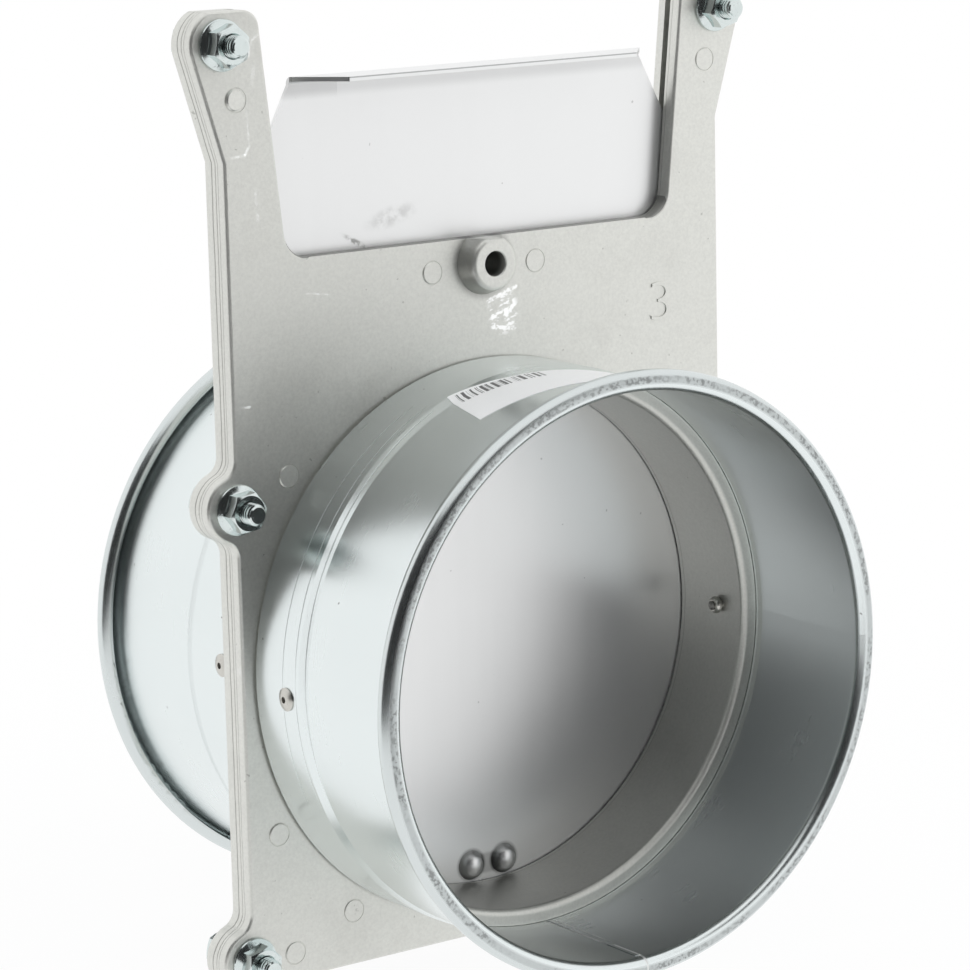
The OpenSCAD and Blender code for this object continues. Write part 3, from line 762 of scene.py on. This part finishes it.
def flanged_hexagon(name, base, top, away):
    """A hexagon with a chamfered face on a turned flange, both along the y axis."""
    bpy.ops.object.select_all(action="DESELECT")
    bpy.ops.mesh.primitive_cylinder_add(
        vertices=6, radius=across_flats / 2000 / math.cos(math.pi / 6),
        depth=abs(top - base) / 1000, location=(0, (base + top) / 2000, 0),
        rotation=(math.pi / 2, 0, 0),
    )
    hexagon = bpy.context.object
    hexagon.name = name
    bpy.ops.object.transform_apply(location=True, rotation=True, scale=True)
    chamfer = turned("chamfer", [
        (0, base), (6.5, base), (6.5, top - away * 1.15), (4.75, top), (0, top),
    ])
    cut_with(hexagon, chamfer, "INTERSECT")
    flange = turned("flange", [
        (0, base), (6.55, base), (6.83, base + away * 0.28), (6.9, base + away * 0.62),
        (6.74, base + away * 0.95), (6.35, base + away * 1.12), (5.4, base + away * 1.62),
        (4.8, base + away * 2.1), (0, base + away * 2.1),
    ])
    cut_with(hexagon, flange, "UNION")
    return hexagon


plating = make_plating()
screw_model = flanged_hexagon("screw_model", rear_face, head_top, 1)
dish = turned("dish", [
    (0, head_top - 0.3), (2.6, head_top - 0.3), (3.1, head_top), (3.1, head_top + 0.45),
    (0, head_top + 0.45),
])
cut_with(screw_model, dish, "DIFFERENCE")
shank = turned("shank", [
    (0, 59.8), (2.42, 59.8), (2.42, 68.0), (2.95, 68.8), (2.95, rear_face + 0.25),
    (0, rear_face + 0.25),
])

# The thread is rolled at a pitch of 1 mm. One pitch of its outline is wound into a closed rod,
# and the rod is then cut to the screw's chamfered tip.
thread = profile_line("thread", [
    (thread_root, 54.00), (thread_root, 54.22), (thread_crest, 54.46), (thread_crest, 54.78),
    (thread_root, 55.00),
])
finish_with(
    thread, "SCREW", axis="Y", angle=2 * math.pi, screw_offset=0.001, iterations=7, steps=48,
    render_steps=48, use_merge_vertices=False,
)
alone(thread)
bpy.ops.object.mode_set(mode="EDIT")
bpy.ops.mesh.select_all(action="SELECT")
bpy.ops.mesh.remove_doubles(threshold=0.000002)
bpy.ops.mesh.select_all(action="SELECT")
bpy.ops.mesh.fill_holes(sides=0)
bpy.ops.mesh.select_all(action="SELECT")
bpy.ops.mesh.normals_make_consistent(inside=False)
bpy.ops.object.mode_set(mode="OBJECT")
tip_cutter = turned("tip", [
    (0, screw_tip), (2.2, screw_tip), (3.0, screw_tip + 0.8), (3.0, 60.0), (0, 60.0),
])
cut_with(thread, tip_cutter, "INTERSECT")
joined([screw_model, shank, thread])
smooth(screw_model, 32)

nut_model = flanged_hexagon("nut_model", front_face, nut_end, -1)
nut_hole = turned("bore", [
    (0, nut_end - 0.25), (3.65, nut_end - 0.25), (3.02, nut_end + 0.45),
    (3.02, front_face - 0.55), (3.6, front_face + 0.25), (0, front_face + 0.25),
])
cut_with(nut_model, nut_hole, "DIFFERENCE")
smooth(nut_model, 32)

# Every nut and screw was tightened to its own angle, in degrees.
screw_turns = {
    "top_left": 9, "top_right": 17, "mid_left": 24, "mid_right": 9, "low_left": 12, "low_right": 27,
}
for place, degrees in screw_turns.items():
    height, side = place.split("_")
    x = screw_x if side == "right" else -screw_x
    moved = Matrix.Translation((x / 1000, 0, screw_heights[height] / 1000))
    moved = moved @ Matrix.Rotation(math.radians(degrees), 4, "Y")
    for kind, model in (("screw", screw_model), ("nut", nut_model)):
        piece = in_scene(f"zinc_{kind}_{place}", model.data.copy())
        piece.data.transform(moved)
        dress(piece, plating, "housing", "plated_steel", f"{kind}_{place}")
bpy.data.objects.remove(screw_model)
bpy.data.objects.remove(nut_model)


# The gate stands on its lowest lugs on a plain pale floor, in front of a white backdrop. The
# floor is white to the camera and in gloss, and keeps a little of the gate's shadow.
lowest = cad_box[0][2]
bpy.ops.object.select_all(action="DESELECT")
bpy.ops.mesh.primitive_circle_add(
    vertices=96, radius=6, fill_type="NGON", location=(0, 0.07, lowest - 0.0002)
)
floor = bpy.context.object
floor.name = "floor"
bpy.ops.object.transform_apply(location=True, rotation=True, scale=True)
ground = Finish("floor_finish", Roughness=0.9, Base_Color=(0.88, 0.88, 0.88, 1))
seen = ground.node("ShaderNodeLightPath", output="Is Camera Ray")
mirrored = ground.node("ShaderNodeLightPath", output="Is Glossy Ray")
distance = ground.reach(ground.x, ground.y, ground.z)
white_share = ground.maths("MINIMUM", seen + mirrored, 1.0)
white_share = white_share * (0.94 + ground.ease(distance, 0.2, 0.6) * 0.06)
glow = ground.node("ShaderNodeEmission", {}, {"Color": (1.0, 1.0, 1.0), "Strength": 1.0})
lit = Wire(ground, ground.shader.outputs[0])
surface = ground.node("ShaderNodeMixShader", {}, {0: white_share, 1: lit, 2: glow})
ground.tree.links.new(surface.socket, ground.tree.nodes["Material Output"].inputs["Surface"])
floor.data.materials.append(ground.material)

# Dark curved screens stand around the camera's side, as in a photographer's room, with one
# more above them to the right. Only gloss sees them: the camera looks through.
screen_radius, screen_top = 0.45, 0.54
dark = Finish(
    "screen_finish", Roughness=1.0, Base_Color=(0.03, 0.03, 0.03, 1), Specular_IOR_Level=0.0
)


def curved_screen(name, start, sweep, low):
    """An upright dark band, its angles in degrees from the front to the left."""
    side = -screen_radius * math.sin(math.radians(start))
    front = -screen_radius * math.cos(math.radians(start))
    edge = bpy.data.meshes.new(name)
    edge.from_pydata([(side, front, low), (side, front, screen_top)], [(0, 1)], [])
    screen = in_scene(name, edge)
    alone(screen)
    bpy.ops.object.mode_set(mode="EDIT")
    bpy.ops.mesh.select_all(action="SELECT")
    bpy.ops.mesh.spin(steps=40, angle=math.radians(sweep), center=(0, 0, 0), axis=(0, 0, 1))
    bpy.ops.object.mode_set(mode="OBJECT")
    screen.data.materials.append(dark.material)
    screen.visible_camera = False
    screen.visible_diffuse = False
    screen.visible_shadow = False


curved_screen("dark_screen", -5, 117, lowest + 0.002)
curved_screen("dark_screen_above", -30, 25, 0.26)


# The room is white to the camera and in gloss, and lights everything else more softly.
world = bpy.data.worlds.new("room")
bpy.context.scene.world = world
world.use_nodes = True
room = Nodes(world.node_tree)
camera_ray, glossy_ray, transmission_ray = (
    room.node("ShaderNodeLightPath", output=f"Is {kind} Ray")
    for kind in ("Camera", "Glossy", "Transmission")
)
white_rays = room.maths("MAXIMUM", room.maths("MAXIMUM", camera_ray, glossy_ray), transmission_ray)
soft = room.node("ShaderNodeBackground", {}, {"Color": (0.97, 0.985, 1.0), "Strength": 0.95})
white = room.node("ShaderNodeBackground", {}, {"Color": (1.0, 1.0, 1.0), "Strength": 1.0})
around = room.node("ShaderNodeMixShader", {}, {0: white_rays, 1: soft, 2: white})
room.tree.links.new(around.socket, room.tree.nodes["World Output"].inputs["Surface"])


def soft_lamp(name, place, target, width, height, power):
    """A wide soft lamp that lights the gate and isn't seen in its gloss."""
    lamp = bpy.data.lights.new(name, "AREA")
    lamp.shape = "RECTANGLE"
    lamp.size, lamp.size_y, lamp.energy = width, height, power
    holder = in_scene(name, lamp)
    holder.location = place
    aim = Vector(target) - Vector(place)
    holder.rotation_euler = aim.to_track_quat("-Z", "Y").to_euler()
    holder.visible_glossy = False


soft_lamp("lamp_right", (0.95, -0.95, 0.30), (0, 0.07, 0.03), 0.8, 0.8, 11)
soft_lamp("lamp_back_left", (-1.05, 1.20, 0.10), (0, 0.03, 0.05), 1.9, 1.2, 6.2)

# The camera stands in front of the gate, to its left and a little above it.
turn, tip, roll = math.radians(35.80), math.radians(12.13), math.radians(-1.32)
ahead = Vector((math.sin(turn) * math.cos(tip), math.cos(turn) * math.cos(tip), -math.sin(tip)))
right = Vector((math.cos(turn), -math.sin(turn), 0))
up = right.cross(ahead)
right, up = (
    math.cos(roll) * right + math.sin(roll) * up,
    math.cos(roll) * up - math.sin(roll) * right,
)
facing = Matrix((right, up, -ahead)).transposed().to_4x4()
camera = in_scene("camera", bpy.data.cameras.new("camera"))
camera.matrix_world = Matrix.Translation((-0.6167, -0.78609, 0.25008)) @ facing
camera.data.sensor_width = 36
camera.data.lens = 142.77
camera.data.shift_x = 0.0026
camera.data.shift_y = 0.0693
camera.data.clip_end = 50
bpy.context.scene.camera = camera
bpy.context.scene.view_settings.view_transform = "Standard"
